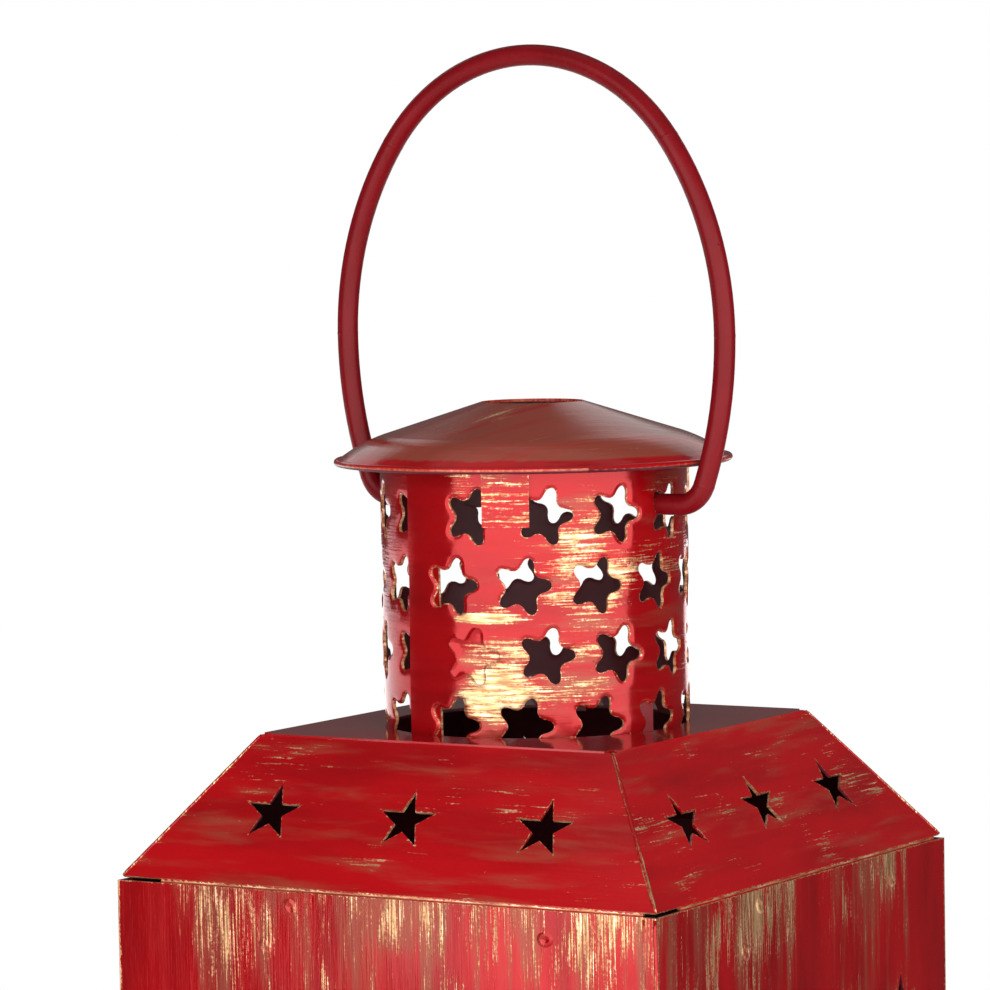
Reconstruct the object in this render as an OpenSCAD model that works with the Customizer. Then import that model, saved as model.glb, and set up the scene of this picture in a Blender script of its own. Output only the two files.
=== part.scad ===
// Punched-tin candle lantern: square body with a hinged door, hipped roof,
// star-punched chimney, domed cap and a swinging wire bail.
// Millimetres. The origin is the middle of the underside, +Z is up and -Y is the front.

/* [Body] */
// Width of the square body across its outer faces
body_w = 130; // [128:1:136]
// Height of the walls' top edge
wall_h = 170; // [165:1:190]
// Thickness of the tin sheet
sheet = 0.6; // [0.5:0.05:0.65]
// Width of the edge that one sheet turns over the other at a corner
lap_w = 3; // [2:0.5:4]
// Height of the base pan's turned-up rim
pan_rim_h = 9; // [8:1:12]

/* [Roof] */
// Width of the flat deck on top of the roof
deck_w = 86; // [80:1:90]
// Height of the deck above the walls' top edge
roof_rise = 29.7; // [25:0.1:35]
// Height of the eave fold above the walls' top edge
eave_gap = 0.9; // [0.5:0.1:2]
// Open joint between two roof faces along a hip
hip_gap = 0.6; // [0.3:0.1:1]
// Height of the flange that is turned down inside the walls
flange_h = 10; // [6:1:12]

/* [Chimney] */
// Outside radius of the chimney
chimney_r = 33; // [32:0.1:34]
// Height of the chimney
chimney_h = 57.5; // [56:0.5:59]
// Turn of the chimney, cap and bail on the roof, in degrees
stack_turn = -5; // [-8:1:8]
// Stars in one row round the chimney
stars_round = 13; // [11:1:13]
// Height of the lowest row of star centres, whose stars run out of the bottom edge
row_low = 2.4; // [2:0.1:3]
// Height from one row of star centres to the next
row_step = 14.6; // [14:0.1:15]

/* [Cap] */
// Radius of the cap's rim
cap_r = 42.7; // [42:0.1:43]
// Height of the cap's rim above the deck
cap_z = 56.1; // [56:0.1:58]
// Rise of the cap from its rim to its vent
cap_rise = 12; // [10:0.5:13]
// Radius of the open vent in the cap
vent_r = 11; // [8:0.5:14]
// Width of a tab that holds the cap
tab_w = 9.9; // [8:0.1:11]

/* [Stars] */
// Tip radius of a star in the roof, walls and door
star_r = 6.9; // [6:0.1:7.5]
// Tip radius of a star in the chimney
chimney_star_r = 6.1; // [5.5:0.1:6.3]
// Distance between star columns on the roof
roof_star_step = 32.8; // [28:0.1:34]
// Distance between star columns on a wall
wall_star_step = 42.8; // [36:0.1:44]
// Distance between star rows on a wall
wall_row_step = 34; // [32:1:36]
// Depth of the top row of stars below the walls' top edge
wall_row_top = 33.5; // [30:0.5:36]

/* [Bail] */
// Diameter of the bail wire
wire_d = 4.5; // [4:0.1:4.8]
// Height of the bail's pivot above the deck
pivot_z = 47.6; // [46:0.1:48]
// Height of the bail's crown above its pivot, on the wire's centre line
bail_h = 95; // [88:0.1:98]
// Greatest half width of the bail, on the wire's centre line
bail_half = 49.4; // [49:0.1:51]

/* [Door] */
// Width of the door panel
door_w = 94; // [90:1:96]
// Height of the door panel
door_h = 116; // [110:1:118]
// Height of the door's lower edge
door_z = 24; // [22:1:26]
// How far the door laps over its opening on each side
door_lap = 4; // [3:0.5:5]

/* [Candle] */
// Inside radius of the candle cup
cup_r = 11.2; // [10:0.1:13]
// Height of the candle cup
cup_h = 24; // [18:1:28]
// Radius of the drip pan
drip_r = 30; // [24:1:36]

/* [Hidden] */
$fn = 72;

cut = 4;
sharp_waist = 0.382;
blunt_waist = 0.5;
blunt_reach = 1.16;
half = body_w / 2;
inner = half - sheet;
joint_gap = 0.05;

eave_half = inner - joint_gap;
deck_half = deck_w / 2;
eave_z = wall_h + eave_gap;
deck_z = wall_h + roof_rise;
slope_run = eave_half - deck_half;
slope_rise = deck_z - sheet / 2 - eave_z;
slope = atan(slope_rise / slope_run);
slope_len = norm([slope_run, slope_rise]);
roof_star_up = 17.2;
corner_notch = 2;
flange_left = 10;
flange_right = 3;
fold_in = 0.1;
deck_lip = 0.1;

chimney_inner = chimney_r - sheet;
star_step = 360 / stars_round;
row_turn = [-64.1, -55.6];
star_rows = 4;
blind_row = 1;
blind_turn = -83.3;
seam_turn = -112.2;
lap_reach = 14;
seam_gap = 0.1;
lap_step = 0.5;
lap_shift = lap_step / (1 - cos(lap_reach));
lap_r = chimney_r + lap_step - lap_shift;
tab_turns = [-69.9, 45, 145];
tab_low = 44.1;
tab_foot = 5;
tab_ease = 0.1;
clip_turns = [-135, -15, 105];
clip_w = 5;
clip_h = 9;
clip_leg = 6;

dome_turns = [16, 38];
dome_r = 33;
bead_r = 0.75;
rim_drop = dome_r * (cos(dome_turns[0]) - cos(dome_turns[1]));
rim_reach = dome_r * (sin(dome_turns[1]) - sin(dome_turns[0]));
shoulder_r = cap_r - bead_r - rim_reach;
cone_slope = (cap_rise - rim_drop) / (shoulder_r - vent_r);
cap_t = 1.15 * sheet;
vent_t = 1.05 * sheet;
arc_steps = 8;

wire_r = wire_d / 2;
running_gap = 0.08;
axle_z = deck_z + pivot_z;
crown_r = 44.5;
shoulder_bend_r = 70;
side_bend_r = 90;
foot_bend_r = 6.5;
weld_gap = 0.04;
axle_end = 28;
crown_z = bail_h - crown_r;
crown_half = asin((shoulder_bend_r - bail_half) / (shoulder_bend_r - crown_r));
widest_z = crown_z - (shoulder_bend_r - crown_r) * cos(crown_half);
side_turn = asin((widest_z - foot_bend_r) / (side_bend_r - foot_bend_r));
foot_x = bail_half - side_bend_r + (side_bend_r - foot_bend_r) * cos(side_turn);

door_gap = 0.3;
door_left = -48;
door_in = half + door_gap;
door_out = door_in + sheet;
hem_w = 4;
door_mid = door_z + door_h / 2;
door_star_step = 30;
strap_rivet_x = -40.5;
strap_rivet_z = 7;

pin_r = 1;
barrel_r = 1.8;
pin_gap = 0.06;
pin_x = -50.5;
pin_y = -(half + door_gap + barrel_r);
leaf_h = 10;
knuckle_h = 6;
knuckle_gap = 0.3;
leaf_left = -63;
leaf_plate_h = 16;
leaf_plate_gap = 2.3;
leaf_neck = 3;
leaf_root = 1.7;
leaf_rivet_x = -58.5;
leaf_rivet_z = 4.5;
pin_fit = 0.02;
pin_tail = 1;
pin_head_h = 1;
strap_neck = 3;
strap_gap = 2.4;
strap_right = -35;
hinge_zs = [door_z + 20, door_z + door_h - 20];

drip_h = 6;
drip_bead_r = 0.8;
cup_foot = 5;
cup_flare = 1.8;
cup_flare_h = 2;
cup_wall_top = 0.5;

rivet_r = 1.2;
rivet_head_r = 2.4;
rivet_gap = 0.05;
rivet_tail_r = 2;
rivet_dome_r = 3.5;
rivet_dome_low = 2.5;
base_rivet_z = 5;
base_rivet_at = 45;

button_x = 54;
button_reach = 12;
button_w = 7;
button_t = 1;
button_clear = 0.4;
button_in = door_out + sheet + button_clear;
latch_r = 1.5;
latch_gap = 0.1;
washer_r = 3.4;
latch_tail_r = 2.7;
latch_head_r = 2.85;
latch_head_h = 1.1;

knob_x = 31;
knob_below = 17;
knob_neck = [[0, 1], [1.9, 1], [1.6, 4], [3.2, 5.4], [0, 5.4]];
knob_ball_r = 4;
knob_ball_z = 7;
knob_ball_low = 5.2;
knob_tail_r = 2;
knob_collar_r = 2.6;
knob_collar_h = 0.8;
knob_shank_h = 3;

function star(r, turn, waist) =
    [for (i = [0:9]) let (q = i % 2 == 0 ? r : r * waist, a = turn + 36 * i) [q * cos(a), q * sin(a)]];

function dome(r, lift) =
    r < shoulder_r ? lift + rim_drop + (shoulder_r - r) * cone_slope
    : lift + sqrt(pow(dome_r, 2) - pow(dome_r * sin(dome_turns[0]) + r - shoulder_r, 2))
        - dome_r * cos(dome_turns[1]);

// A five-pointed star, point up.
module sharp_star() {
    translate([0, 0, -cut]) linear_extrude(2 * cut) polygon(star(star_r, 90, sharp_waist));
}

// A five-pointed star with its tips rounded off.
module blunt_star() {
    linear_extrude(2 * cut, center = true) intersection() {
        polygon(star(blunt_reach * chimney_star_r, 0, blunt_waist));
        circle(chimney_star_r);
    }
}

// A rivet along +Z: its shank fills a stack of sheets from z = 0 up to grip.
module rivet(grip) {
    translate([0, 0, -sheet]) cylinder(r = rivet_tail_r, h = sheet);
    cylinder(r = rivet_r, h = grip);
    translate([0, 0, grip]) rotate_extrude() intersection() {
        translate([0, -rivet_dome_low]) circle(rivet_dome_r);
        square(rivet_head_r);
    }
}

module rivet_hole() {
    translate([0, 0, -cut]) cylinder(r = rivet_r + rivet_gap, h = 2 * cut);
}

// Places children on a face of the body: x runs to the right, y up, z out of the face.
module on_side(turn, out = half) {
    rotate([0, 0, turn]) translate([0, -out, 0]) rotate([90, 0, 0]) children();
}

module wall_stars() {
    for (column = [-1:1], row = [0:3])
        translate([column * wall_star_step, wall_h - wall_row_top - row * wall_row_step, 0])
            sharp_star();
}

module base_rivet_holes() {
    for (turn = [0:90:270], side = [-1, 1])
        on_side(turn) translate([side * base_rivet_at, base_rivet_z, 0]) rivet_hole();
}

// One bent sheet that makes two walls and the narrow edge lapped round the next corner.
module wall_sheet() {
    translate([-half, -half, sheet]) cube([body_w - sheet, sheet, wall_h - sheet]);
    translate([-half, -half, sheet]) cube([sheet, body_w + sheet, wall_h - sheet]);
    translate([-half, half, sheet]) cube([lap_w, sheet, wall_h - sheet]);
}

module base_pan() {
    rim_x = half + joint_gap;
    rim_y = half + sheet + joint_gap;
    color("firebrick") difference() {
        translate([-rim_x - sheet, -rim_y - sheet, 0])
            cube([2 * (rim_x + sheet), 2 * (rim_y + sheet), pan_rim_h]);
        translate([-rim_x, -rim_y, sheet]) cube([2 * rim_x, 2 * rim_y, pan_rim_h]);
        base_rivet_holes();
    }
}

module front_left_sheet() {
    color("firebrick") difference() {
        wall_sheet();
        on_side(0) translate([door_left + door_lap, door_z + door_lap, -cut])
            cube([door_w - 2 * door_lap, door_h - 2 * door_lap, 2 * cut]);
        on_side(-90) wall_stars();
        base_rivet_holes();
        leaf_rivet_places() rivet_hole();
        latch_place() cylinder(r = latch_r + rivet_gap, h = 2 * cut, center = true);
    }
}

module right_back_sheet() {
    color("firebrick") difference() {
        rotate([0, 0, 180]) wall_sheet();
        on_side(90) wall_stars();
        on_side(180) wall_stars();
        base_rivet_holes();
    }
}

module base_rivets() {
    for (turn = [0:90:270], side = [-1, 1]) {
        wall_out = turn % 180 == 0 ? 2 * sheet + joint_gap : sheet + joint_gap;
        color("darkred") on_side(turn, inner) translate([side * base_rivet_at, base_rivet_z, 0])
            rivet(sheet + wall_out);
    }
}

module roof_face() {
    bottom = eave_half - hip_gap / 2;
    top = deck_half - hip_gap / 2;
    translate([0, -eave_half, eave_z]) rotate([slope, 0, 0]) difference() {
        translate([0, 0, -sheet]) linear_extrude(sheet)
            polygon([[-bottom, 0], [bottom, 0], [top, slope_len], [-top, slope_len]]);
        for (column = [-1:1])
            translate([column * roof_star_step, roof_star_up, 0]) sharp_star();
    }
    translate([flange_left - eave_half, fold_in - eave_half, eave_z - flange_h])
        cube([2 * eave_half - flange_left - flange_right, sheet, flange_h + fold_in / 2]);
}

module roof() {
    color("crimson") {
        for (turn = [0:90:270]) rotate([0, 0, turn]) roof_face();
        translate([0, 0, deck_z - sheet]) difference() {
            translate([-deck_half - deck_lip, -deck_half - deck_lip, 0])
                cube([deck_w + 2 * deck_lip, deck_w + 2 * deck_lip, sheet]);
            translate([0, 0, -cut]) cylinder(r = chimney_inner, h = 2 * cut);
            for (x = [-1, 1], y = [-1, 1])
                translate([x * deck_half, y * deck_half, 0])
                    cube([2 * corner_notch, 2 * corner_notch, 2 * cut], center = true);
        }
    }
}

function row_z(row) = deck_z + row_low + row * row_step;

module chimney_star(row, turn) {
    rotate([0, 0, turn]) translate([chimney_r, 0, row_z(row)]) rotate([90, 0, 90]) blunt_star();
}

// Stars behind the lapped edge are cut off by it, and one star beside it is left unpunched.
module chimney_stars() {
    for (row = [0:star_rows - 1], i = [0:stars_round - 1]) {
        turn = row_turn[row % 2] + i * star_step - 360;
        behind = abs(turn - seam_turn) < star_step / 2;
        blind = row == blind_row && abs(turn - blind_turn) < star_step / 2;
        if (behind) difference() {
            chimney_star(row, turn);
            rotate([0, 0, seam_turn]) translate([0, -seam_gap, deck_z - cut])
                cube([2 * chimney_r, chimney_r, chimney_h + 2 * cut]);
        }
        else if (!blind) chimney_star(row, turn);
    }
}

module axle_bore() {
    translate([0, 0, axle_z]) rotate([0, 0, stack_turn]) rotate([0, 90, 0])
        cylinder(r = wire_r + running_gap, h = 3 * chimney_r, center = true);
}

module chimney() {
    color("firebrick") difference() {
        union() {
            translate([0, 0, deck_z]) cylinder(r = chimney_r, h = chimney_h);
            rotate([0, 0, seam_turn]) intersection() {
                translate([lap_shift, 0, deck_z]) cylinder(r = lap_r, h = chimney_h);
                translate([chimney_inner, 0, deck_z]) cube([cut, chimney_r, chimney_h]);
            }
        }
        translate([0, 0, deck_z - cut]) cylinder(r = chimney_inner, h = chimney_h + 2 * cut);
        chimney_stars();
        axle_bore();
    }
}

// Small angles that hold the chimney: one leg up its inside, one leg under the deck.
module chimney_clips() {
    sweep = clip_w / chimney_inner * 180 / PI;
    leg_r = chimney_inner - joint_gap;
    under = deck_z - sheet - joint_gap;
    color("dimgray") for (turn = clip_turns)
        rotate([0, 0, turn - sweep / 2]) rotate_extrude(angle = sweep) {
            translate([leg_r - sheet, under - sheet]) square([sheet, clip_h]);
            translate([leg_r - sheet, under - sheet]) square([clip_leg, sheet]);
        }
}

module cap() {
    rim_r = cap_r - bead_r;
    arc_r = [for (i = [0:arc_steps]) shoulder_r + rim_reach * i / arc_steps];
    over = [for (r = arc_r) [r, dome(r, bead_r)]];
    under = [for (i = [arc_steps:-1:0]) [arc_r[i], dome(arc_r[i], bead_r) - cap_t]];
    color("brown") translate([0, 0, deck_z + cap_z]) {
        rotate_extrude() polygon(concat(
            [[vent_r, dome(vent_r, bead_r)]], over, under,
            [[vent_r, dome(vent_r, bead_r) - vent_t]]
        ));
        rotate_extrude() translate([rim_r, bead_r / 2]) circle(bead_r);
    }
}

// Strips up the outside of the chimney whose tops are turned out under the cap.
module cap_tabs() {
    sweep = tab_w / chimney_r * 180 / PI;
    tab_r = chimney_r + joint_gap;
    under = cap_z - cap_t - joint_gap;
    color("crimson") for (turn = tab_turns)
        translate([0, 0, deck_z]) rotate([0, 0, turn - sweep / 2]) rotate_extrude(angle = sweep)
            polygon([
                [tab_r, tab_low],
                [tab_r + sheet, tab_low],
                [tab_r + sheet, under - sheet + dome(tab_r + sheet, bead_r)],
                [tab_r + tab_foot, under - sheet - tab_ease + dome(tab_r + tab_foot, bead_r)],
                [tab_r + tab_foot, under + dome(tab_r + tab_foot, bead_r)],
                [tab_r, under + dome(tab_r, bead_r) - tab_ease]
            ]);
}

module drip_pan() {
    color("firebrick") translate([0, 0, sheet]) rotate_extrude() {
        square([drip_r, sheet]);
        translate([drip_r - sheet, 0]) square([sheet, drip_h]);
        translate([drip_r - sheet / 2, drip_h]) circle(drip_bead_r);
    }
}

module candle_cup() {
    foot_z = 2 * sheet;
    color("firebrick") translate([0, 0, foot_z]) rotate_extrude() {
        square([cup_r + cup_foot, sheet]);
        translate([cup_r, 0]) square([sheet, cup_h - cup_flare_h + cup_wall_top]);
        polygon([
            [cup_r, cup_h - cup_flare_h],
            [cup_r + sheet, cup_h - cup_flare_h],
            [cup_r + cup_flare + sheet, cup_h],
            [cup_r + cup_flare, cup_h]
        ]);
    }
}

module leaf_rivet_places() {
    for (z = hinge_zs, side = [-1, 1])
        on_side(0, inner) translate([leaf_rivet_x, z + side * leaf_rivet_z, 0]) children();
}

module leaf_rivets() {
    color("darkred") leaf_rivet_places() rivet(2 * sheet);
}

module hinge_leaves() {
    color("crimson") for (z = hinge_zs) translate([0, 0, z]) difference() {
        union() {
            translate([leaf_left, -half - sheet, -leaf_plate_h / 2])
                cube([pin_x - leaf_plate_gap - leaf_left, sheet, leaf_plate_h]);
            translate([pin_x - leaf_neck, -half - sheet, -leaf_h / 2])
                cube([leaf_neck, sheet, leaf_h]);
            translate([pin_x - leaf_root, -half - leaf_root, -leaf_h / 2])
                cube([leaf_root, leaf_root, leaf_h]);
            translate([pin_x, pin_y, -leaf_h / 2]) cylinder(r = barrel_r, h = leaf_h);
        }
        translate([pin_x, pin_y, -leaf_h]) cylinder(r = pin_r + pin_fit, h = 2 * leaf_h);
        for (side = [-1, 1])
            translate([leaf_rivet_x, -half, side * leaf_rivet_z]) rotate([90, 0, 0]) rivet_hole();
    }
}

module hinge_pins() {
    low = leaf_h / 2 + knuckle_gap + knuckle_h;
    color("gray") for (z = hinge_zs) translate([pin_x, pin_y, z]) {
        translate([0, 0, -low - pin_tail])
            cylinder(r = pin_r, h = 2 * low + pin_tail + knuckle_gap + pin_head_h / 2);
        translate([0, 0, low + knuckle_gap]) cylinder(r = barrel_r, h = pin_head_h);
    }
}

module strap_rivet_places() {
    for (z = hinge_zs, side = [-1, 1])
        on_side(0, door_in) translate([strap_rivet_x, z + side * strap_rivet_z, 0]) children();
}

module strap_rivets() {
    color("darkred") strap_rivet_places() rivet(2 * sheet);
}

module door_straps() {
    low = leaf_h / 2 + knuckle_gap;
    color("crimson") for (z = hinge_zs) difference() {
        translate([0, 0, z]) union() {
            for (side = [-1, 1]) translate([0, 0, side * (low + knuckle_h / 2)]) {
                translate([pin_x, pin_y, -knuckle_h / 2]) cylinder(r = barrel_r, h = knuckle_h);
                translate([pin_x, -door_out - sheet, -knuckle_h / 2])
                    cube([strap_neck, sheet, knuckle_h]);
            }
            translate([pin_x + strap_gap, -door_out - sheet, -low - knuckle_h])
                cube([strap_right - pin_x - strap_gap, sheet, 2 * (low + knuckle_h)]);
        }
        translate([pin_x, pin_y, z - 2 * leaf_h]) cylinder(r = pin_r + pin_gap, h = 4 * leaf_h);
        strap_rivet_places() rivet_hole();
    }
}

module door_panel() {
    color("firebrick") difference() {
        union() {
            translate([door_left, -door_out, door_z]) cube([door_w, sheet, door_h]);
            difference() {
                translate([door_left + 2 * hem_w, -door_out - sheet, door_z])
                    cube([door_w - 2 * hem_w, 2 * sheet, door_h]);
                translate([door_left, -door_out - cut, door_z + hem_w])
                    cube([door_w - hem_w, 2 * cut, door_h - 2 * hem_w]);
            }
        }
        for (column = [-1:1], row = [-1:1])
            on_side(0) translate([column * door_star_step, door_mid + row * wall_row_step, 0])
                sharp_star();
        strap_rivet_places() rivet_hole();
        knob_place() cylinder(r = rivet_r + rivet_gap, h = 2 * cut, center = true);
    }
}

module knob_place() {
    on_side(0, door_in) translate([knob_x, door_mid - knob_below, 0]) children();
}

module pull_knob() {
    color("crimson") knob_place() rotate_extrude() {
        translate([0, -sheet]) square([knob_tail_r, sheet]);
        square([rivet_r, knob_shank_h]);
        translate([0, sheet]) square([knob_collar_r, knob_collar_h]);
        polygon(knob_neck);
        intersection() {
            translate([0, knob_ball_z]) circle(knob_ball_r);
            translate([0, knob_ball_low]) square(2 * knob_ball_r);
        }
    }
}

module latch_place() {
    on_side(0) translate([button_x, door_mid, 0]) children();
}

module latch_washer() {
    color("crimson") latch_place() difference() {
        cylinder(r = washer_r, h = button_in - half - latch_gap);
        cylinder(r = latch_r + rivet_gap, h = 2 * cut, center = true);
    }
}

module latch_rivet() {
    head = button_in - half + button_t + latch_gap;
    color("darkred") latch_place() {
        translate([0, 0, -2 * sheet]) cylinder(r = latch_tail_r, h = sheet);
        translate([0, 0, -sheet]) cylinder(r = latch_r, h = head + sheet);
        translate([0, 0, head]) cylinder(r = latch_head_r, h = latch_head_h);
    }
}

// A tab that hangs from its rivet, and laps over the door's edge when it is turned.
module turn_button() {
    color("crimson") latch_place() translate([0, 0, button_in - half]) difference() {
        union() {
            cylinder(r = button_w / 2, h = button_t);
            translate([-button_w / 2, -button_reach, 0])
                cube([button_w, button_reach, button_t]);
            translate([0, -button_reach, 0]) cylinder(r = button_w / 2, h = button_t);
        }
        cylinder(r = latch_r + pin_gap, h = 2 * cut, center = true);
    }
}

// A length of wire bent to radius r about centre, in the plane of the bail, with a
// rounded start that closes it onto the next bend.
module wire_bend(centre, r, from, sweep) {
    translate([centre[0], 0, centre[1]]) rotate([90, 0, 0]) rotate([0, 0, from]) {
        rotate_extrude(angle = sweep) translate([r, 0]) circle(wire_r);
        translate([r, 0, 0]) sphere(wire_r + weld_gap);
    }
}

module bail_side() {
    wire_bend([(crown_r - shoulder_bend_r) * sin(crown_half), widest_z],
        shoulder_bend_r, 90 - crown_half, crown_half - 90);
    wire_bend([bail_half - side_bend_r, widest_z], side_bend_r, 0, -side_turn);
    wire_bend([foot_x, foot_bend_r], foot_bend_r, -side_turn, side_turn - 90);
    translate([foot_x, 0, 0]) sphere(wire_r + weld_gap);
    translate([axle_end, 0, 0]) rotate([0, 90, 0]) cylinder(r = wire_r, h = foot_x - axle_end);
}

module bail() {
    color("crimson") translate([0, 0, axle_z]) rotate([0, 0, stack_turn]) {
        translate([0, 0, crown_z]) rotate([90, 0, 0]) rotate([0, 0, 90 - crown_half])
            rotate_extrude(angle = 2 * crown_half) translate([crown_r, 0]) circle(wire_r);
        bail_side();
        mirror([1, 0, 0]) bail_side();
    }
}

base_pan();
front_left_sheet();
right_back_sheet();
roof();
chimney();
chimney_clips();
cap();
cap_tabs();
drip_pan();
candle_cup();
base_rivets();
hinge_leaves();
hinge_pins();
leaf_rivets();
latch_washer();
latch_rivet();
door_panel();
door_straps();
strap_rivets();
pull_knob();
turn_button();
bail();
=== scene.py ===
"""Looks of the punched-tin candle lantern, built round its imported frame. Metres, +Z up, -Y the door side."""
import math

import bpy
from mathutils import Matrix, Vector
from mathutils.geometry import delaunay_2d_cdt

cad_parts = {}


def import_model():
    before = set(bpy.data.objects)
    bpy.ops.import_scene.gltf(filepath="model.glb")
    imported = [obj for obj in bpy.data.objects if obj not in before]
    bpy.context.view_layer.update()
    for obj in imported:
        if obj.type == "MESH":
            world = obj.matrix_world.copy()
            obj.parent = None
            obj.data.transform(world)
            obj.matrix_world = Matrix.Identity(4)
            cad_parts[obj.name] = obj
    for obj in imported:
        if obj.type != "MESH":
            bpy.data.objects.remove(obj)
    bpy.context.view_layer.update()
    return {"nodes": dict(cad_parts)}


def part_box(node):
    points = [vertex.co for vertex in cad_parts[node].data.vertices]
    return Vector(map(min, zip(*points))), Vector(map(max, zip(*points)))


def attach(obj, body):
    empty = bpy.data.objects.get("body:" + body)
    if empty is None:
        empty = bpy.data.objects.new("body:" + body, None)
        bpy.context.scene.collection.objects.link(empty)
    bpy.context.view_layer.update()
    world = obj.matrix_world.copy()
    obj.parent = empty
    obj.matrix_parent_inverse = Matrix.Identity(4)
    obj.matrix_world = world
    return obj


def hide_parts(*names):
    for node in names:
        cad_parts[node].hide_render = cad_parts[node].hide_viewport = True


MM = 0.001
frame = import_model()
nodes = frame["nodes"]

# ---------------------------------------------------------------- places, read from the frame
wall_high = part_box("front_left_sheet")[1]
chimney_low, chimney_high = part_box("chimney")
roof_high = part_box("roof")[1]
cap_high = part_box("cap")[1]
WALL_TOP = wall_high.z
DECK_Z = chimney_low.z
CHIMNEY_H = chimney_high.z - DECK_Z
CHIMNEY_R = 33 * MM
CAP_R = cap_high.x

# The roof's slopes: half widths at the deck and the eaves, and how far the eaves are above the walls
DECK_HALF, EAVE_HALF, EAVE_LIFT = 43 * MM, 64.35 * MM, 0.9 * MM

# Sharp stars: their size, and their places on the walls, the door and the roof
STAR_R, STAR_WAIST = 6.9 * MM, 0.382
STAR_ROW_STEP = 34 * MM
WALL_STAR_STEP, WALL_ROW_Z = 42.8 * MM, WALL_TOP - 33.5 * MM
DOOR_STAR_STEP, DOOR_ROW_Z = 30 * MM, 82 * MM
ROOF_STAR_STEP, ROOF_STAR_UP = 32.8 * MM, 17.2 * MM

# Blunt stars on the chimney: rows and columns, the first of each, and their size
CHIMNEY_ROWS, CHIMNEY_COLUMNS = 4, 13
STEP_TURN = math.tau / CHIMNEY_COLUMNS
CHIMNEY_ROW_LOW, CHIMNEY_ROW_STEP = 2.4 * MM, 14.6 * MM
CHIMNEY_TURNS = (math.radians(-64.1), math.radians(-55.6))
BLUNT_STAR_R, BLUNT_HALF_TIP, BLUNT_WAIST = 6.15 * MM, 0.17, 0.5


# ---------------------------------------------------------------- shader building
class Field:
    """A float socket that can be computed with."""

    def __init__(self, tree, socket):
        self.tree, self.socket = tree, socket

    def op(self, kind, *others):
        n = self.tree.nodes.new("ShaderNodeMath")
        n.operation = kind
        for i, v in enumerate((self, *others)):
            if isinstance(v, Field):
                self.tree.links.new(v.socket, n.inputs[i])
            else:
                n.inputs[i].default_value = v
        return Field(self.tree, n.outputs[0])

    def __add__(self, v):
        return self.op("ADD", v)

    def __sub__(self, v):
        return self.op("SUBTRACT", v)

    def __mul__(self, v):
        return self.op("MULTIPLY", v)

    __radd__, __rmul__ = __add__, __mul__

    def __neg__(self):
        return self * -1.0

    def __truediv__(self, v):
        return self.op("DIVIDE", v)

    def abs(self):
        return self.op("ABSOLUTE")

    def smooth(self, low, high, out_low=0.0, out_high=1.0):
        n = self.tree.nodes.new("ShaderNodeMapRange")
        n.interpolation_type = "SMOOTHSTEP"
        self.tree.links.new(self.socket, n.inputs["Value"])
        for name, v in zip(("From Min", "From Max", "To Min", "To Max"), (low, high, out_low, out_high)):
            n.inputs[name].default_value = v
        return Field(self.tree, n.outputs["Result"])


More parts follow.
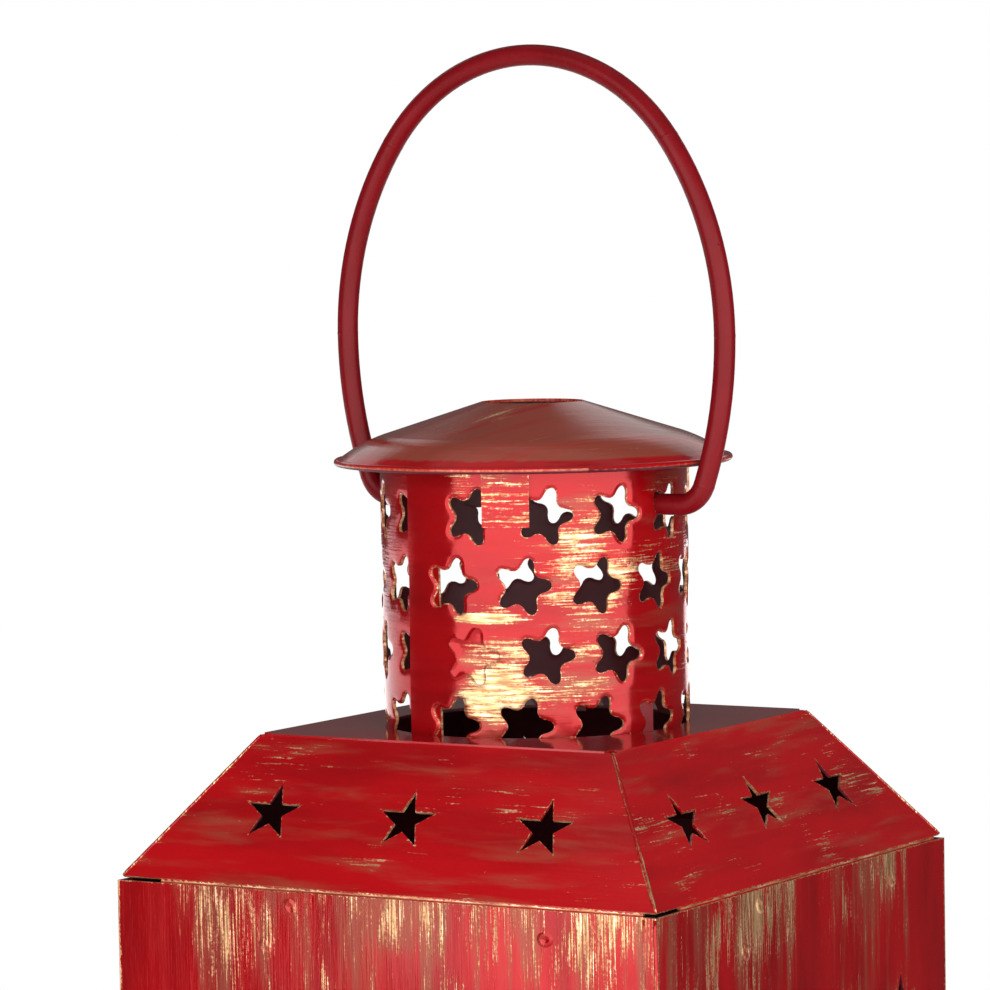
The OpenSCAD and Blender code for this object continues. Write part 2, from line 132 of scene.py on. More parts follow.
class Shader:
    """A principled material under construction, with the object's own coordinates and normal."""

    def __init__(self, name):
        self.material = bpy.data.materials.new(name)
        self.material.use_nodes = True
        self.tree = self.material.node_tree
        self.bsdf = self.tree.nodes["Principled BSDF"]
        texco = self.tree.nodes.new("ShaderNodeTexCoord")
        self.x, self.y, self.z = self.split(texco.outputs["Object"])
        self.nx, self.ny, self.nz = self.split(texco.outputs["Normal"])

    def split(self, vector):
        n = self.tree.nodes.new("ShaderNodeSeparateXYZ")
        self.tree.links.new(vector, n.inputs[0])
        return [Field(self.tree, o) for o in n.outputs]

    def join(self, x, y, z):
        n = self.tree.nodes.new("ShaderNodeCombineXYZ")
        for i, v in enumerate((x, y, z)):
            if isinstance(v, Field):
                self.tree.links.new(v.socket, n.inputs[i])
            else:
                n.inputs[i].default_value = v
        return n.outputs[0]

    def noise(self, x, y, z, detail=3.0, warp=0.0):
        """Noise on coordinates that are already in feature sizes."""
        n = self.tree.nodes.new("ShaderNodeTexNoise")
        n.inputs["Scale"].default_value = 1.0
        n.inputs["Detail"].default_value = detail
        n.inputs["Roughness"].default_value = 0.55
        n.inputs["Distortion"].default_value = warp
        self.tree.links.new(self.join(x, y, z), n.inputs["Vector"])
        return Field(self.tree, n.outputs[0])

    def attribute(self, name):
        """A number stored on the mesh's points."""
        n = self.tree.nodes.new("ShaderNodeAttribute")
        n.attribute_name = name
        return Field(self.tree, n.outputs["Fac"])

    def specks(self, size, reach):
        """Small round spots about size apart, 1 at their centres."""
        n = self.tree.nodes.new("ShaderNodeTexVoronoi")
        n.inputs["Scale"].default_value = 1.0
        self.tree.links.new(self.join(self.x / size, self.y / size, self.z / size), n.inputs["Vector"])
        return Field(self.tree, n.outputs["Distance"]).smooth(reach, 0.0)

    def mix(self, fac, a, b):
        n = self.tree.nodes.new("ShaderNodeMix")
        n.data_type, n.clamp_factor = "RGBA", True
        self.tree.links.new(fac.socket, n.inputs["Factor"])
        for name, v in (("A", a), ("B", b)):
            socket = [s for s in n.inputs if s.name == name and s.type == "RGBA"][0]
            if isinstance(v, tuple):
                socket.default_value = (*v, 1.0)
            else:
                self.tree.links.new(v, socket)
        return [s for s in n.outputs if s.type == "RGBA"][0]

    def finish(self, color, metallic, roughness, height):
        """Sets the look from sockets, fields or constants, with height in metres as bumps."""
        links, b = self.tree.links, self.bsdf
        for name, v in (("Base Color", color), ("Metallic", metallic), ("Roughness", roughness)):
            if isinstance(v, Field):
                links.new(v.socket, b.inputs[name])
            elif isinstance(v, (int, float)):
                b.inputs[name].default_value = v
            elif isinstance(v, tuple):
                b.inputs[name].default_value = (*v, 1.0)
            else:
                links.new(v, b.inputs[name])
        n = self.tree.nodes.new("ShaderNodeBump")
        n.inputs["Distance"].default_value = 1.0
        links.new(height.socket, n.inputs["Height"])
        links.new(n.outputs[0], b.inputs["Normal"])
        return self.material


def star_distance(u, v):
    """How far (u, v) lies outside a sharp star that points up, in metres; negative inside it."""
    q = (u * u + v * v).op("SQRT")
    a = v.op("ARCTAN2", u) - math.pi / 2
    sector = math.tau / 5
    folded = ((a + 10 * sector + sector / 2).op("MODULO", sector) - sector / 2).abs()
    tip = Vector((STAR_R, 0))
    inner = Vector((math.cos(sector / 2), math.sin(sector / 2))) * STAR_R * STAR_WAIST
    edge = inner - tip
    out = Vector((edge.y, -edge.x)).normalized()
    px, py = q * folded.op("COSINE"), q * folded.op("SINE")
    return (px - tip.x) * out.x + (py - tip.y) * out.y


def nearest(v, step):
    """Offset from the nearest multiple of step."""
    return v - (v / step).op("ROUND") * step


# ---------------------------------------------------------------- the punched chimney sheet
# The sheet's thickness, where its outer end lies and how far it laps the inner end, all round the axis
SHEET = 0.6 * MM
SEAM, LAP, LAP_STEP = math.radians(-112.2), math.radians(14), 0.5 * MM
SHEET_START, SHEET_END = SEAM * CHIMNEY_R, (SEAM + math.tau + LAP) * CHIMNEY_R
# The holes that the bail turns in, and the star that was marked but not punched
AXLE_TURN, AXLE_UP, BORE_R = math.radians(-5), 47.6 * MM, 2.33 * MM
BLIND_TURN, BLIND_ROW = math.radians(-83.3), 1
# How far the metal is drawn in round a hole, the ridge of the marked star, and the sheet's slow waves
LIP_REACH, LIP_DEPTH = 0.9 * MM, 0.22 * MM
MARK_REACH, MARK_HEIGHT = 0.55 * MM, 0.26 * MM
WAVE, SKIN = 0.10 * MM, 0.1 * MM
# An outline whose first point is further than this from a point can't touch it
NEAR = 20 * MM


def rounded_star(u, v, turn):
    """Outline of a blunt star round (u, v) as (u, v) points, with soft tips and corners."""
    points = []
    for arm in range(5):
        for q, a in ((1.0, -BLUNT_HALF_TIP), (1.0, BLUNT_HALF_TIP), (BLUNT_WAIST, math.pi / 5)):
            a += turn + arm * math.tau / 5
            points.append(Vector((q * math.cos(a), q * math.sin(a))))
    for _ in range(2):
        cut = []
        for i, p in enumerate(points):
            q = points[(i + 1) % len(points)]
            cut += [p.lerp(q, 0.25), p.lerp(q, 0.75)]
        points = cut
    size = BLUNT_STAR_R / max(p.length for p in points)
    return [Vector((u, v)) + p * size for p in points]


def offset_outline(points, gap):
    """A closed outline moved outward by gap."""
    out = []
    for i, p in enumerate(points):
        along = points[(i + 1) % len(points)] - points[i - 1]
        out.append(p + Vector((along.y, -along.x)).normalized() * gap)
    return out


def within(point, outline):
    """True if the point lies inside the closed outline."""
    inside = False
    for i, a in enumerate(outline):
        b = outline[i - 1]
        if (a.y > point.y) != (b.y > point.y):
            if point.x < (b.x - a.x) * (point.y - a.y) / (b.y - a.y) + a.x:
                inside = not inside
    return inside


def gap_to(point, outline):
    """Distance from the point to the closed outline."""
    best = 1.0
    for i, b in enumerate(outline):
        a = outline[i - 1]
        ab = b - a
        k = min(1.0, max(0.0, (point - a).dot(ab) / ab.dot(ab)))
        best = min(best, (point - a - ab * k).length)
    return best


def close_to(point, outlines):
    """The outlines that may touch or hold the point."""
    return [o for o in outlines if (o[0] - point).length < NEAR]


def chimney_radius(u):
    """Outside radius of the sheet at u along it: the outer lap stands proud, the inner end tucks in."""
    reach = LAP * CHIMNEY_R
    proud = max(0.0, 1.0 - (u - SHEET_START) / reach)
    tucked = max(0.0, 1.0 - (SHEET_END - u) / reach)
    return CHIMNEY_R + LAP_STEP * proud - (SHEET + 0.02 * MM) * tucked


def chimney_holes():
    """Outlines on the unrolled sheet: stars and the wire's two holes, and the star that was only marked."""
    holes, blind = [], None
    for row in range(CHIMNEY_ROWS):
        for i in range(CHIMNEY_COLUMNS):
            wobble = 0.06 * math.sin(row * 7.1 + i * 3.7)
            turn = CHIMNEY_TURNS[row % 2] + i * STEP_TURN - math.tau
            while turn < SEAM + STEP_TURN / 2:
                turn += math.tau
            up = CHIMNEY_ROW_LOW + row * CHIMNEY_ROW_STEP
            outline = rounded_star(turn * CHIMNEY_R, up, wobble)
            if row == BLIND_ROW and abs(turn - BLIND_TURN) < STEP_TURN / 2:
                blind = outline
            else:
                holes.append(outline)
    for turn in (AXLE_TURN, AXLE_TURN + math.pi):
        ring = [Vector((math.cos(a), math.sin(a))) for a in (math.tau * k / 24 for k in range(24))]
        centre = Vector((turn * CHIMNEY_R, AXLE_UP))
        holes.append([centre + p * BORE_R for p in ring])
    return holes, blind


def chimney_plan(holes, blind):
    """The unrolled sheet as points and faces: fine round the outlines, an even grid between them."""
    points, edges = [], []

    def loop(outline):
        first = len(points)
        points.extend(outline)
        edges.extend((first + i, first + (i + 1) % len(outline)) for i in range(len(outline)))

    corners = ((SHEET_START, 0), (SHEET_END, 0), (SHEET_END, CHIMNEY_H), (SHEET_START, CHIMNEY_H))
    loop([Vector(p) for p in corners])
    outlines = [*holes, blind]
    for outline in outlines:
        loop(outline)
    for outline in outlines:
        for gap in (0.4 * MM, LIP_REACH):
            ring = offset_outline(outline, gap)
            points.extend(p for p in ring if 0 < p.y < CHIMNEY_H and SHEET_START < p.x < SHEET_END)
    points.extend(offset_outline(blind, -0.5 * MM))
    columns, rows = 150, 30
    for i in range(columns + 1):
        for j in range(rows + 1):
            p = Vector((SHEET_START + (SHEET_END - SHEET_START) * i / columns, CHIMNEY_H * j / rows))
            if all(gap_to(p, o) > 1.1 * MM and not within(p, o) for o in close_to(p, outlines)):
                points.append(p)
    flat, _, faces = delaunay_2d_cdt(points, edges, [], 0, 1e-7)[:3]

    sheet = []
    for face in faces:
        middle = sum((flat[i] for i in face), Vector((0, 0))) / len(face)
        on_sheet = SHEET_START < middle.x < SHEET_END and 0 < middle.y < CHIMNEY_H
        if on_sheet and not any(within(middle, hole) for hole in close_to(middle, holes)):
            sheet.append(face)
    return flat, sheet


def chimney_lift(p, holes, blind):
    """How far the sheet is drawn out or in at a point, and how far the point is from an edge that takes gold,
    partly worn gold and partly a painted highlight; the sheet's bottom edge and the marked star count as
    such edges too, a little less than a hole's."""
    gap = min([gap_to(p, hole) for hole in close_to(p, holes)] + [p.y + 0.3 * MM, 1.0])
    mark = min([gap_to(p, o) for o in close_to(p, [blind])] + [1.0])
    lift = -LIP_DEPTH * max(0.0, 1 - gap / LIP_REACH) ** 2
    lift += MARK_HEIGHT * max(0.0, 1 - mark / MARK_REACH)
    lift += WAVE * math.sin(3 * p.x / CHIMNEY_R + 9 * p.y / CHIMNEY_H) * math.sin(math.pi * p.y / CHIMNEY_H)
    return lift, min(gap, mark + 0.35 * MM)


def chimney_piece():
    """The chimney as one rolled sheet: blunt stars with drawn-in lips, a lapped seam and a marked star."""
    holes, blind = chimney_holes()
    flat, sheet = chimney_plan(holes, blind)
    used = dict.fromkeys(i for face in sheet for i in face)
    verts, gaps, index = [], [], {}
    for side in (0, 1):
        for i in used:
            p = flat[i]
            lift, gap = chimney_lift(p, holes, blind)
            turn = p.x / CHIMNEY_R
            q = chimney_radius(p.x) + lift - SKIN - side * SHEET
            index[side, i] = len(verts)
            verts.append((q * math.cos(turn), q * math.sin(turn), DECK_Z + p.y))
            gaps.append(gap)
    polys, sides = [], {}
    for face in sheet:
        polys.append([index[0, i] for i in face])
        polys.append([index[1, i] for i in reversed(face)])
        sides.update(((a, b), True) for a, b in zip(face, (*face[1:], face[0])))
    for a, b in sides:
        if (b, a) not in sides:
            polys.append([index[0, b], index[0, a], index[1, a], index[1, b]])

    mesh = bpy.data.meshes.new("chimney_sheet")
    mesh.from_pydata(verts, [], polys)
    attribute = mesh.attributes.new("rim_gap", "FLOAT", "POINT")
    attribute.data.foreach_set("value", gaps)
    mesh.shade_smooth()
    mesh.set_sharp_from_angle(angle=math.radians(35))
    piece = bpy.data.objects.new("chimney_sheet", mesh)
    bpy.context.scene.collection.objects.link(piece)
    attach(piece, "lantern")
    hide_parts("chimney")
    return piece


# ---------------------------------------------------------------- paint
RED = (0.31, 0.0024, 0.0042)
WIRE_RED = (0.135, 0.0025, 0.005)
DEEP_RED = (0.20, 0.0016, 0.003)
DEEP_WIRE_RED = (0.11, 0.0018, 0.0035)
# The inside red is darker than the outside red: painted shade of the lantern's inside
SHADED_INSIDE = (0.075, 0.005, 0.009)
GOLD = (0.62, 0.36, 0.17)
BRONZE = (0.30, 0.145, 0.065)
CREAM = (0.88, 0.66, 0.42)
GLAZE = (0.19, 0.062, 0.034)

# Strokes on faces that look along X are taken this many mm further on, so that they differ from the others
X_FACE = 200
# A gap in metres that is past all edge gold, both the worn gold and the painted highlight
FAR = 0.1


def patches(s, along, across, spots):
    """Sum of soft oval patches (along, across, half length, half width, strength), in millimetres."""
    total = None
    for a, c, half_a, half_c, strength in spots:
        u = (along - a * MM) / (half_a * MM)
        v = (across - c * MM) / (half_c * MM)
        spot = (u * u + v * v).smooth(0.15, 1.6, strength, 0.0)
        total = spot if total is None else total + spot
    return total


def painted(name, shape, seed, gold=0.0, hair=0.42, reach=16, glaze=0.0, veil=0.6, rim=0.8, spots=(),
            worn=None, foil=0.38):
    """Gloss red lacquer over tin, with gold dry-brushed over it.

    shape(s) gives four fields: the stroke's two directions, how far the surface faces outward, and the
    distance from a punched edge, or None. gold and glaze raise how much is covered, and veil is how much
    the glaze hides. hair and reach are a brush mark's width and length in mm. rim is how much gold the
    edges get, partly worn gold and partly a painted highlight; worn(s) adds wear, and foil is how much
    bright tin shows in the lacquer's reflections.
    """
    s = Shader(name)
    along, across, outward, edge_gap = shape(s)
    outer = outward.smooth(0.15, 0.45)
    inner = (-outward).smooth(0.15, 0.45)
    cut = (outer + inner) * -1.0 + 1.0

    def streak(length, width, offset, detail=2.0, warp=0.0):
        u, v = along / (length * MM), across / (width * MM)
        return s.noise(u, v, seed + offset, detail=detail, warp=warp)

    # Where gold covers the red: brush hairs, bands of them, and patches
    fine = streak(reach, hair, 0.0, 3.0)
    band = streak(reach * 2.0, hair * 6, 7.3, 3.0, 0.3)
    patch = s.noise(along / (26 * MM), across / (15 * MM), seed + 3.1, detail=2.0)
    grain = s.noise(s.x / (0.7 * MM), s.y / (0.7 * MM), s.z / (0.7 * MM), detail=2.0)
    level = fine * 0.55 + band * 0.30 + patch * 0.45 + grain * 0.18 + (gold - 0.74)
    marked = patches(s, along, across, spots) if spots else fine * 0.0
    level = level + marked
    if worn is not None:
        level = level + worn(s)
    amount = level.smooth(0.06, 0.17) * outer
    # Edges and the sheet's cut faces: gold that is partly worn gold and partly a painted highlight
    if edge_gap is not None:
        edge_gold_and_glint = (edge_gap * -1.0 + grain * (1.5 * MM) + fine * (0.8 * MM) - 1.05 * MM).smooth(0.0, 0.3 * MM)
        edge_gold_and_glint = edge_gold_and_glint * edge_gap.smooth(-0.6 * MM, -0.3 * MM)
        amount = amount.op("MAXIMUM", edge_gold_and_glint * outer * rim)
    amount = amount.op("MAXIMUM", cut * grain.smooth(0.30, 0.55, 0.15, 0.95) * rim)
    # A brown glaze, thinner than the gold
    wash = streak(70, 7, 31.0, 2.0, 0.4) * 0.6 + band * 0.4 + marked + (glaze - 0.5)
    if worn is not None:
        wash = wash + worn(s)
    wash = wash.smooth(0.0, 0.2, 0.0, veil) * outer

    # Colour
    tone = streak(60, 12, 11.0, 3.0)
    base = s.mix(tone.smooth(0.35, 0.75), RED, DEEP_RED)
    base = s.mix(wash, base, GLAZE)
    # Faces that point inward take the darker inside red, which is painted shade
    base = s.mix(inner, base, SHADED_INSIDE)
    hue = streak(reach * 0.6, hair * 1.6, 17.0, 3.0)
    leaf = s.mix(hue.smooth(0.35, 0.55), BRONZE, GOLD)
    leaf = s.mix(hue.smooth(0.52, 0.68), leaf, CREAM)
    color = s.mix(amount, base, leaf)

    # Gloss and relief
    smear = streak(25, 2.5, 23.0, 3.0)
    rough = amount * 0.14 + wash * 0.12 + smear.smooth(0.3, 0.8, 0.09, 0.18) + inner * 0.3
    nibs = s.specks(7.5 * MM, 0.05) * (0.10 * MM)
    dents = s.noise(s.x / (38 * MM), s.y / (38 * MM), s.z / (38 * MM), detail=1.0) * (0.6 * MM)
    ripple = streak(9, 2.2, 29.0) * (0.02 * MM)
    ridges = fine * (0.02 * MM) + amount * (0.025 * MM)
    s.bsdf.inputs["Specular IOR Level"].default_value = 0.36
    metal = amount * (0.8 - foil) + outer * foil
    return s.finish(color, metal, rough, nibs + dents + ripple + ridges)


def radial(s):
    """Radius, and how far the normal points away from the axis."""
    r = (s.x * s.x + s.y * s.y).op("SQRT")
    return r, (s.nx * s.x + s.ny * s.y) / r


def facing(s):
    """1 on faces that look along X, 0 on those that look along Y."""
    return (s.nx.abs() - s.ny.abs()).smooth(-0.02, 0.02)


def pick(choice, a, b):
    """a where choice is 1, and b where it is 0."""
    return a * choice + b * (choice * -1.0 + 1.0)


def wall_face(column_step, row_at, starred):
    """Shape of flat walls with stars in three columns: strokes run down them. starred(s, on_x) is 1 where
    there are stars."""
    def shape(s):
        on_x = facing(s)
        outward = pick(on_x, s.nx * (s.x / (60 * MM)), s.ny * (s.y / (60 * MM)))
        side = pick(on_x, s.y, s.x)
        plain = starred(s, on_x) * -1.0 + 1.0
        gap = star_distance(nearest(side, column_step), nearest(s.z - row_at, STAR_ROW_STEP)) + plain * FAR
        gap = gap + (side.abs() - 1.5 * column_step).smooth(0, MM, 0.0, FAR)
        corner = side.abs() * -1.0 + (wall_high.x + 0.2 * MM)
        gap = gap.op("MINIMUM", corner).op("MINIMUM", s.z * -1.0 + WALL_TOP)
        return s.z, side + on_x * (X_FACE * MM), outward, gap
    return shape


def sheets_starred(s, on_x):
    """The left, right and back walls have stars; on the front only the door does."""
    back = s.y.smooth(0.03, 0.04)
    low = s.z.smooth(14 * MM, 16 * MM)
    high = s.z.smooth(WALL_TOP - 18 * MM, WALL_TOP - 20 * MM)
    return on_x.op("MAXIMUM", back) * low * high


def door_starred(s, on_x):
    """The whole panel is starred."""
    return on_x * 0.0 + 1.0


def roof_shape(s):
    """Strokes along the eaves; stars in one row up each slope."""
    on_x = facing(s)
    along = pick(on_x, s.y, s.x)
    slope = math.atan2(roof_high.z - WALL_TOP - EAVE_LIFT, EAVE_HALF - DECK_HALF)
    up = (s.z - (WALL_TOP + EAVE_LIFT)) / math.sin(slope)
    gap = star_distance(nearest(along, ROOF_STAR_STEP), up - ROOF_STAR_UP)
    hip = (along.abs() + up * math.cos(slope)) * -1.0 + (EAVE_HALF - 0.25 * MM)
    deck = s.z.smooth(DECK_Z - 0.3 * MM, DECK_Z - 0.1 * MM, 0.0, FAR)
    gap = gap.op("MINIMUM", hip + deck).op("MINIMUM", up + 0.35 * MM)
    outward = (s.nx * s.x + s.ny * s.y) / (50 * MM) + s.nz
    return along, up + on_x * (X_FACE * MM), outward, gap


def chimney_shape(s):
    """Strokes round the tube."""
    _, outward = radial(s)
    turn = s.y.op("ARCTAN2", s.x)
    return turn * CHIMNEY_R, s.z - DECK_Z, outward, s.attribute("rim_gap")


def from_nearest(turn, centres):
    """Offset from the nearest of a few angles."""
    best = turn - centres[0]
    for centre in centres[1:]:
        gap = turn - centre
        closer = (best.abs() - gap.abs()).smooth(-0.001, 0.001)
        best = pick(closer, gap, best)
    return best


TAB_TURNS = [math.radians(a) for a in (-69.9, 45, 145)]
TAB_HALF, TAB_LOW_Z = 4.95 * MM, DECK_Z + 44.1 * MM


def tab_shape(s):
    """Strokes across the tabs, and the distance from their edges."""
    _, outward = radial(s)
    turn = s.y.op("ARCTAN2", s.x)
    side = from_nearest(turn, TAB_TURNS)
    gap = (side.abs() * -CHIMNEY_R + TAB_HALF).op("MINIMUM", s.z - TAB_LOW_Z)
    return turn * CHIMNEY_R, s.z - DECK_Z, outward, gap


def cap_shape(s):
    """Strokes dragged across the cap."""
    tilt = math.radians(62)
    along = s.x * math.cos(tilt) + s.y * math.sin(tilt)
    across = s.y * math.cos(tilt) - s.x * math.sin(tilt)
    return along, across, s.nz, None


def cap_wear(s):
    """The rim stays red."""
    r, _ = radial(s)
    return r.smooth(CAP_R - 3.5 * MM, CAP_R - 1.5 * MM, 0.0, -0.4)


def fitting_shape(s):
    """Small plain fittings and raised seams: strokes run up them."""
    return s.z, s.x + s.y, s.nx * 0.0 + 1.0, None


def wire_material():
    """Satin red wire with fine runs in the paint."""
    s = Shader("wire_paint")
    tone = s.noise(s.x / (14 * MM), s.y / (14 * MM), s.z / (14 * MM), detail=3.0)
    fine = s.noise(s.x / (0.9 * MM), s.y / (0.9 * MM), s.z / (3 * MM), detail=3.0)
    color = s.mix(tone.smooth(0.35, 0.75), WIRE_RED, DEEP_WIRE_RED)
    height = s.specks(4.2 * MM, 0.08) * (0.08 * MM) + fine * (0.012 * MM)
    s.bsdf.inputs["Specular IOR Level"].default_value = 0.12
    return s.finish(color, 0.0, fine.smooth(0.3, 0.7, 0.30, 0.38), height)


def steel_material():
    """Dull wire of the hinge pins."""
    s = Shader("pin_steel")
    fine = s.noise(s.x / (0.6 * MM), s.y / (0.6 * MM), s.z / (4 * MM), detail=4.0)
    color = s.mix(fine, (0.20, 0.17, 0.15), (0.42, 0.40, 0.38))
    return s.finish(color, 1.0, fine.smooth(0.3, 0.7, 0.35, 0.55), fine * (0.03 * MM))


def inside_shade_material():
    """Darker red on what stays indoors: painted shade of the lantern's inside, its tone varying at random."""
    s = Shader("inside_paint")
    tone = s.noise(s.x / (9 * MM), s.y / (9 * MM), s.z / (9 * MM), detail=4.0)
    color = s.mix(tone, (0.10, 0.006, 0.009), (0.19, 0.012, 0.016))
    return s.finish(color, 0.0, tone.smooth(0.3, 0.7, 0.35, 0.5), tone * (0.1 * MM))


def dress(material, *names):
    """Puts one material on CAD nodes."""
    for name in names:
        mesh = nodes[name].data
        mesh.materials.clear()
        mesh.materials.append(material)


def wall_wear(s):
    """More gold toward the top edge of the walls, where the brush was set down."""
    return s.z.smooth(WALL_TOP - 26 * MM, WALL_TOP, 0.0, 0.10)


# Patches of more or less gold: place along and across the strokes, half length, half width, strength
CHIMNEY_SPOTS = (
    (-43.5, 8, 9, 5.5, 0.20), (-43, 16.5, 8, 5, 0.13), (-44, 25, 9, 1.3, 0.22), (-27, 20, 12, 6, 0.11),
    (-24, 46, 9, 7, 0.12), (-24, 31, 11, 6, 0.12), (-26, 10, 10, 4, 0.10), (-64, 28, 11, 60, -0.25),
)
WALL_SPOTS = (
    (120, -61, 90, 11, -0.40), (166, 13, 9, 3, 0.10), (160, -27, 14, 2, 0.04), (166, 3, 7, 9, 0.05),
    (150, X_FACE - 28, 30, 8, 0.04), (120, X_FACE + 58, 90, 10, -0.15), (120, X_FACE + 2, 90, 9, -0.10),
)
wall_shape = wall_face(WALL_STAR_STEP, WALL_ROW_Z, sheets_starred)
door_shape = wall_face(DOOR_STAR_STEP, DOOR_ROW_Z, door_starred)
body_paint = painted("body_paint", wall_shape, 2.0, gold=-0.035, hair=0.40, reach=13, spots=WALL_SPOTS,
                     worn=wall_wear)
door_paint = painted("door_paint", door_shape, 3.0, hair=0.5)
roof_paint = painted("roof_paint", roof_shape, 5.0, gold=-0.052, hair=0.5, reach=9, veil=0.45, foil=0.1)
chimney = chimney_piece()
chimney_paint = painted("chimney_paint", chimney_shape, 9.0, gold=-0.03, hair=0.5, reach=9,
                        spots=CHIMNEY_SPOTS)
tab_paint = painted("tab_paint", tab_shape, 9.5, gold=0.04, hair=0.5, reach=6)
cap_paint = painted("cap_paint", cap_shape, 13.0, gold=-0.06, hair=0.5, reach=11, glaze=0.2, rim=0.2,
                    worn=cap_wear, foil=0.12)
fitting_paint = painted("fitting_paint", fitting_shape, 19.0, gold=-0.05, rim=0.5)

dress(body_paint, "base_pan", "front_left_sheet", "right_back_sheet")
dress(door_paint, "door_panel")
dress(roof_paint, "roof")
chimney.data.materials.append(chimney_paint)
dress(tab_paint, "cap_tabs")
dress(cap_paint, "cap")
dress(fitting_paint, "base_rivets", "hinge_leaves", "leaf_rivets", "latch_washer", "latch_rivet")
dress(fitting_paint, "door_straps", "strap_rivets", "pull_knob", "turn_button")
dress(inside_shade_material(), "chimney_clips", "drip_pan", "candle_cup")
dress(steel_material(), "hinge_pins")
dress(wire_material(), "bail")


# ---------------------------------------------------------------- small marks on the sheets
bead_paint = painted("bead_paint", fitting_shape, 21.0, gold=0.06, hair=0.4, reach=10)


def detail(name, verts, faces, paint):
    """A small mesh on the lantern's body."""
    mesh = bpy.data.meshes.new(name)
    mesh.from_pydata(verts, [], faces)
    mesh.shade_smooth()
    mesh.materials.append(paint)
    piece = bpy.data.objects.new(name, mesh)
    bpy.context.scene.collection.objects.link(piece)
    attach(piece, "lantern")


def ring_faces(first, rings, size, capped=True):
    """Faces over a stack of rings of points, each of size points, numbered from first."""
    faces = []
    for j in range(rings - 1):
        for k in range(size):
            a, b = first + j * size + k, first + j * size + (k + 1) % size
            faces.append([a, b, b + size, a + size])
    if capped:
        last = first + (rings - 1) * size
        faces.append(list(reversed(range(first, first + size))))
        faces.append(list(range(last, last + size)))
    return faces


# Spot welds: along the wall and height in mm; and their section, as radius and lift in mm
WELD_PLACES = ((-28, 158), (-21.7, 166.8), (39.2, 164.1))
WELD_SECTION = ((0.0, 0.02), (0.45, 0.04), (0.8, 0.2), (1.1, 0.24), (1.5, 0.14), (2.0, -0.1))
WALL_OUT = 65.0


def weld_marks():
    """Spot-weld craters where the roof's flanges are fixed inside the walls."""
    verts, faces = [], []
    size = 20
    for turn in range(4):
        m = Matrix.Rotation(turn * math.pi / 2, 3, "Z")
        for along, up in WELD_PLACES:
            first = len(verts)
            for q, lift in WELD_SECTION:
                for k in range(size):
                    a = math.tau * k / size
                    uneven = q * (1 + 0.12 * math.sin(2 * a + along))
                    p = Vector((along + uneven * math.cos(a), -WALL_OUT - lift, up + uneven * math.sin(a)))
                    verts.append(m @ p * MM)
            faces += ring_faces(first, len(WELD_SECTION), size, capped=False)
    detail("weld_marks", verts, faces, body_paint)


# Rounded folds at the lapped corner: their middle and radius in mm
FOLDS = ((62.2, -65.55, 0.35), (64.75, -65.45, 0.45))


def corner_beads():
    """The two rounded folds down each lapped corner."""
    verts, faces = [], []
    size, low, high, steps = 12, 9.4 * MM, WALL_TOP - 0.3 * MM, 60
    for flip in (1, -1):
        for x, y, radius in FOLDS:
            first = len(verts)
            for j in range(steps + 1):
                z = low + (high - low) * j / steps
                bend = 0.08 * MM * math.sin(j * 0.9 + x) + 0.05 * MM * math.sin(j * 0.37)
                q = radius * MM * (0.85 if j in (0, steps) else 1.0)
                for k in range(size):
                    a = math.tau * k / size
                    at_x, at_y = x * MM + bend + q * math.cos(a), y * MM + q * math.sin(a)
                    verts.append((flip * at_x, flip * at_y, z))
            faces += ring_faces(first, steps + 1, size)
    detail("corner_beads", verts, faces, bead_paint)


SEAM_R, SEAM_SINK = 0.46 * MM, 0.35 * MM


def hip_seams():
    """A thin raised seam down each hip of the roof."""
    verts, faces = [], []
    size, steps = 10, 40
    top, low = DECK_HALF - 0.25 * MM, EAVE_HALF - 0.2 * MM
    top = Vector((top, -top, DECK_Z - SEAM_SINK))
    low = Vector((low, -low, WALL_TOP + 1.0 * MM))
    run = (low - top).normalized()
    side = run.cross(Vector((0, 0, 1))).normalized()
    rise = side.cross(run)
    for turn in range(4):
        m = Matrix.Rotation(turn * math.pi / 2, 3, "Z")
        first = len(verts)
        for j in range(steps + 1):
            centre = top.lerp(low, j / steps) + side * (0.06 * MM * math.sin(j * 1.1 + turn))
            q = SEAM_R * (0.7 if j in (0, steps) else 1.0)
            for k in range(size):
                a = math.tau * k / size
                verts.append(m @ (centre + side * q * math.cos(a) + rise * q * 0.7 * math.sin(a)))
        faces += [face[::-1] for face in ring_faces(first, steps + 1, size)]
    detail("hip_seams", verts, faces, bead_paint)


weld_marks()
corner_beads()
hip_seams()


# ---------------------------------------------------------------- floor, light and camera
FLOOR_R = 0.75


def floor():
    """A plain pale disc."""
    bpy.ops.mesh.primitive_circle_add(vertices=128, radius=FLOOR_R, fill_type="NGON")
    disc = bpy.context.object
    disc.name = "floor"
    s = Shader("floor")
    grain = s.noise(s.x / 0.02, s.y / 0.02, 0.0)
    disc.data.materials.append(s.finish((0.97, 0.97, 0.97), 0.0, 0.9, grain * 0.0001))


# The camera's direction, how far it is, and what it looks at: a point to the side of the axis, over the walls
CAMERA_YAW, CAMERA_PITCH, CAMERA_ROLL = (math.radians(a) for a in (30.91, 3.756, -0.94))
CAMERA_FAR, CAMERA_SIDE, AIM_ABOVE_WALL = 1.071, -0.0083, 0.0785
SENSOR, LENS = 36.0, 181.8


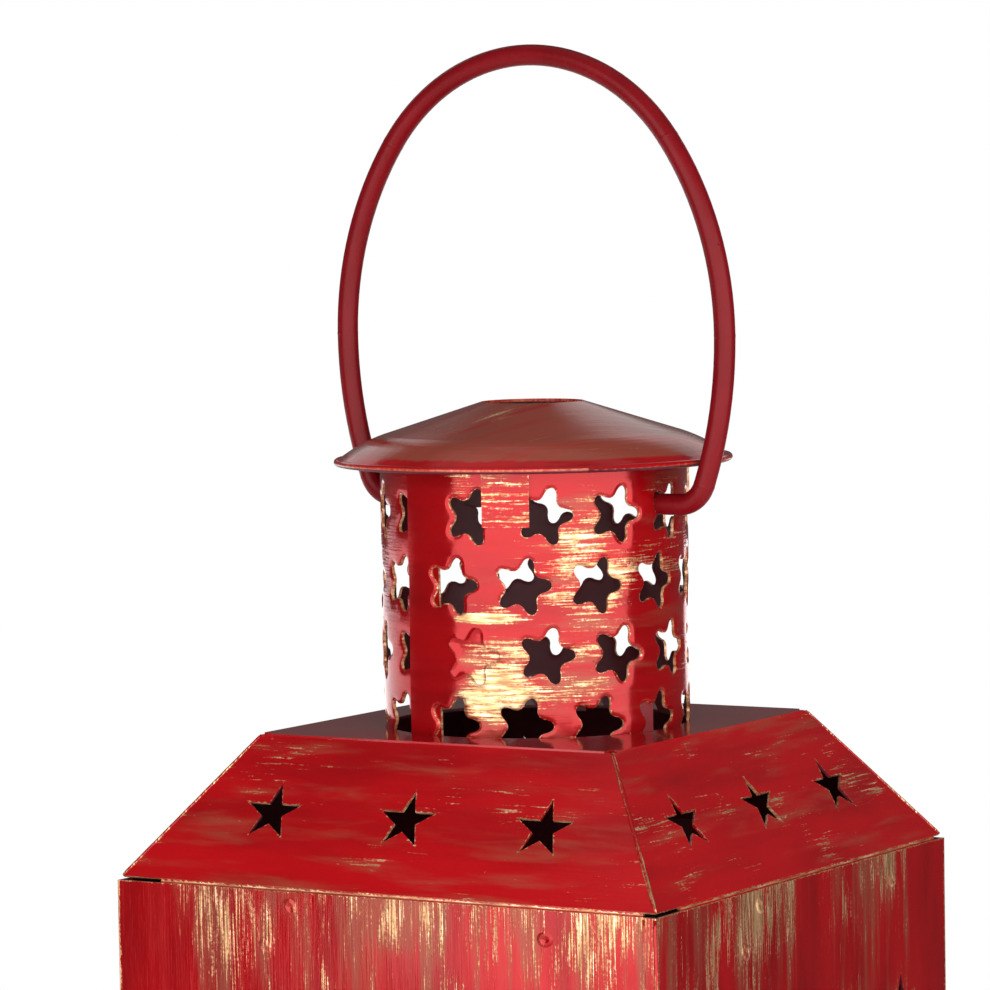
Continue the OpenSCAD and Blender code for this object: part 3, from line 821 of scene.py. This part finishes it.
def camera():
    """Sees the lantern from its front right corner, a little from above."""
    forward = Vector((-math.sin(CAMERA_YAW) * math.cos(CAMERA_PITCH),
                      math.cos(CAMERA_YAW) * math.cos(CAMERA_PITCH), -math.sin(CAMERA_PITCH)))
    level = Vector((math.cos(CAMERA_YAW), math.sin(CAMERA_YAW), 0))
    rise = level.cross(forward)
    right = math.cos(CAMERA_ROLL) * level + math.sin(CAMERA_ROLL) * rise
    up = -math.sin(CAMERA_ROLL) * level + math.cos(CAMERA_ROLL) * rise
    place = -forward * CAMERA_FAR + level * CAMERA_SIDE + Vector((0, 0, WALL_TOP + AIM_ABOVE_WALL))
    data = bpy.data.cameras.new("camera")
    data.sensor_width, data.lens = SENSOR, LENS
    data.clip_start, data.clip_end = 0.02, 50
    cam = bpy.data.objects.new("camera", data)
    bpy.context.scene.collection.objects.link(cam)
    m = Matrix((right, up, -forward)).transposed().to_4x4()
    m.translation = place
    cam.matrix_world = m
    bpy.context.scene.camera = cam


def softbox(name, turn, wide, low, high, radius, glow):
    """A flat soft light that faces the lantern; turn and wide are degrees round it from the camera's side."""
    a = CAMERA_YAW + math.radians(turn)
    width, height = 2 * radius * math.tan(math.radians(wide) / 2), high - low
    data = bpy.data.lights.new(name, "AREA")
    data.shape, data.size, data.size_y = "RECTANGLE", width, height
    data.energy = glow * math.pi * width * height
    lamp = bpy.data.objects.new(name, data)
    lamp.location = (radius * math.sin(a), -radius * math.cos(a), (low + high) / 2)
    lamp.rotation_euler = (math.radians(90), 0, a)
    lamp.visible_camera = False
    bpy.context.scene.collection.objects.link(lamp)


CEILING_W, CEILING_Z = 1.6, 1.5


def ceiling(glow):
    """A dim soft light overhead."""
    data = bpy.data.lights.new("ceiling", "AREA")
    data.shape, data.size = "SQUARE", CEILING_W
    data.energy = glow * math.pi * CEILING_W ** 2
    lamp = bpy.data.objects.new("ceiling", data)
    lamp.location = (0, 0, CEILING_Z)
    lamp.visible_camera = False
    bpy.context.scene.collection.objects.link(lamp)


def world():
    """Dim grey surroundings that the camera sees as white paper."""
    w = bpy.data.worlds.new("world")
    bpy.context.scene.world = w
    w.use_nodes = True
    t = w.node_tree
    seen = t.nodes.new("ShaderNodeLightPath")
    paper, dim = t.nodes["Background"], t.nodes.new("ShaderNodeBackground")
    paper.inputs["Color"].default_value = (1, 1, 1, 1)
    paper.inputs["Strength"].default_value = 1.0
    dim.inputs["Color"].default_value = (1, 1, 1, 1)
    dim.inputs["Strength"].default_value = 0.10
    mix = t.nodes.new("ShaderNodeMixShader")
    t.links.new(seen.outputs["Is Camera Ray"], mix.inputs[0])
    t.links.new(dim.outputs[0], mix.inputs[1])
    t.links.new(paper.outputs[0], mix.inputs[2])
    t.links.new(mix.outputs[0], t.nodes["World Output"].inputs[0])


floor()
world()
camera()
# Three tall key lights with narrow gaps between them, low lights behind, and two higher ones for the cap
for i, (turn, wide) in enumerate(((-40.2, 43.1), (4.0, 45.3), (49.3, 45.3))):
    softbox(f"key_{i}", turn, wide, low=0.0, high=0.8, radius=0.8, glow=3.7)
for i, turn in enumerate((168, 206, 244)):
    softbox(f"back_{i}", turn, 38, low=0.0, high=0.17, radius=0.8, glow=2.0)
softbox("back_left", 160, 30, low=0.5, high=0.95, radius=1.0, glow=0.8)
softbox("back_right", 205, 30, low=0.5, high=0.95, radius=1.0, glow=0.8)
ceiling(0.35)
bpy.context.scene.view_settings.view_transform = "Standard"
